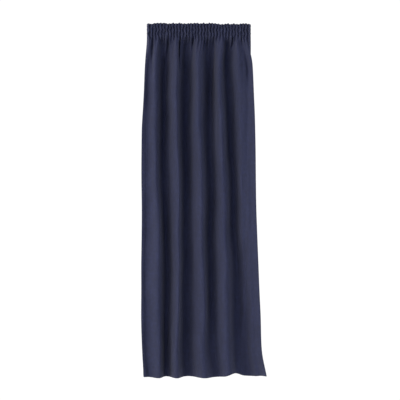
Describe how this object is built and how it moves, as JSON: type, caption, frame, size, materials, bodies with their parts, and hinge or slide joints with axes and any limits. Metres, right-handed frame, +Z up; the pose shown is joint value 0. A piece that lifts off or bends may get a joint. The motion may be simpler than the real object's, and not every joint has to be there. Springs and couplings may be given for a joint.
{
  "type": "curtain panel",
  "caption": "Heavy plain curtain panel gathered on a pencil-pleat heading tape, falling in deep vertical folds to a turned hem, hung from plastic hooks.",
  "frame": {"origin": "on the hanging line, midway along the gathered heading, level with the seats of the hooks where they rest on their gliders", "axes": "+Z up, +X along the heading towards the leading edge, -Y towards the room, +Y towards the window"},
  "size_m": [0.8626, 0.1325, 2.45],
  "materials": {
    "cloth": "matte",
    "tape": "matte",
    "cord": "matte",
    "thread": "satin",
    "label": "satin",
    "hook_plastic": "satin"
  },
  "bodies": {
    "panel": {"curtain_cloth": "cloth", "heading_tape": "tape", "draw_cord_upper": "cord", "draw_cord_middle": "cord", "draw_cord_lower": "cord", "heading_seam_upper": "thread", "heading_seam_lower": "thread", "side_seam_left": "thread", "side_seam_right": "thread", "hem_seam": "thread", "care_label": "label", "hook_01": "hook_plastic"},
    "hook_02": {"hook_02": "hook_plastic"},
    "hook_03": {"hook_03": "hook_plastic"},
    "hook_04": {"hook_04": "hook_plastic"},
    "hook_05": {"hook_05": "hook_plastic"},
    "hook_06": {"hook_06": "hook_plastic"},
    "hook_07": {"hook_07": "hook_plastic"},
    "hook_08": {"hook_08": "hook_plastic"},
    "hook_09": {"hook_09": "hook_plastic"},
    "hook_10": {"hook_10": "hook_plastic"},
    "hook_11": {"hook_11": "hook_plastic"},
    "hook_12": {"hook_12": "hook_plastic"}
  },
  "joints": [
    {"name": "leading_hook_slide", "type": "slide", "parent": "panel", "child": "hook_12", "axis": [1, 0, 0], "range_m": [-0.384, 0], "deforming": ["curtain_cloth", "heading_tape", "draw_cord_upper", "draw_cord_middle", "draw_cord_lower", "heading_seam_upper", "heading_seam_lower", "side_seam_left", "side_seam_right", "hem_seam", "care_label"]},
    {"name": "hook_02_slide", "type": "slide", "parent": "panel", "child": "hook_02", "axis": [1, 0, 0], "range_m": [-0.03491, 0]},
    {"name": "hook_03_slide", "type": "slide", "parent": "panel", "child": "hook_03", "axis": [1, 0, 0], "range_m": [-0.06982, 0]},
    {"name": "hook_04_slide", "type": "slide", "parent": "panel", "child": "hook_04", "axis": [1, 0, 0], "range_m": [-0.10473, 0]},
    {"name": "hook_05_slide", "type": "slide", "parent": "panel", "child": "hook_05", "axis": [1, 0, 0], "range_m": [-0.13964, 0]},
    {"name": "hook_06_slide", "type": "slide", "parent": "panel", "child": "hook_06", "axis": [1, 0, 0], "range_m": [-0.17455, 0]},
    {"name": "hook_07_slide", "type": "slide", "parent": "panel", "child": "hook_07", "axis": [1, 0, 0], "range_m": [-0.20946, 0]},
    {"name": "hook_08_slide", "type": "slide", "parent": "panel", "child": "hook_08", "axis": [1, 0, 0], "range_m": [-0.24437, 0]},
    {"name": "hook_09_slide", "type": "slide", "parent": "panel", "child": "hook_09", "axis": [1, 0, 0], "range_m": [-0.27927, 0]},
    {"name": "hook_10_slide", "type": "slide", "parent": "panel", "child": "hook_10", "axis": [1, 0, 0], "range_m": [-0.31418, 0]},
    {"name": "hook_11_slide", "type": "slide", "parent": "panel", "child": "hook_11", "axis": [1, 0, 0], "range_m": [-0.34909, 0]}
  ],
  "couplings": [
    {"joint": "hook_02_slide", "follows": "leading_hook_slide", "ratio": 0.090909},
    {"joint": "hook_03_slide", "follows": "leading_hook_slide", "ratio": 0.18182},
    {"joint": "hook_04_slide", "follows": "leading_hook_slide", "ratio": 0.27273},
    {"joint": "hook_05_slide", "follows": "leading_hook_slide", "ratio": 0.36364},
    {"joint": "hook_06_slide", "follows": "leading_hook_slide", "ratio": 0.45454},
    {"joint": "hook_07_slide", "follows": "leading_hook_slide", "ratio": 0.54546},
    {"joint": "hook_08_slide", "follows": "leading_hook_slide", "ratio": 0.63636},
    {"joint": "hook_09_slide", "follows": "leading_hook_slide", "ratio": 0.72727},
    {"joint": "hook_10_slide", "follows": "leading_hook_slide", "ratio": 0.81818},
    {"joint": "hook_11_slide", "follows": "leading_hook_slide", "ratio": 0.90909}
  ]
}
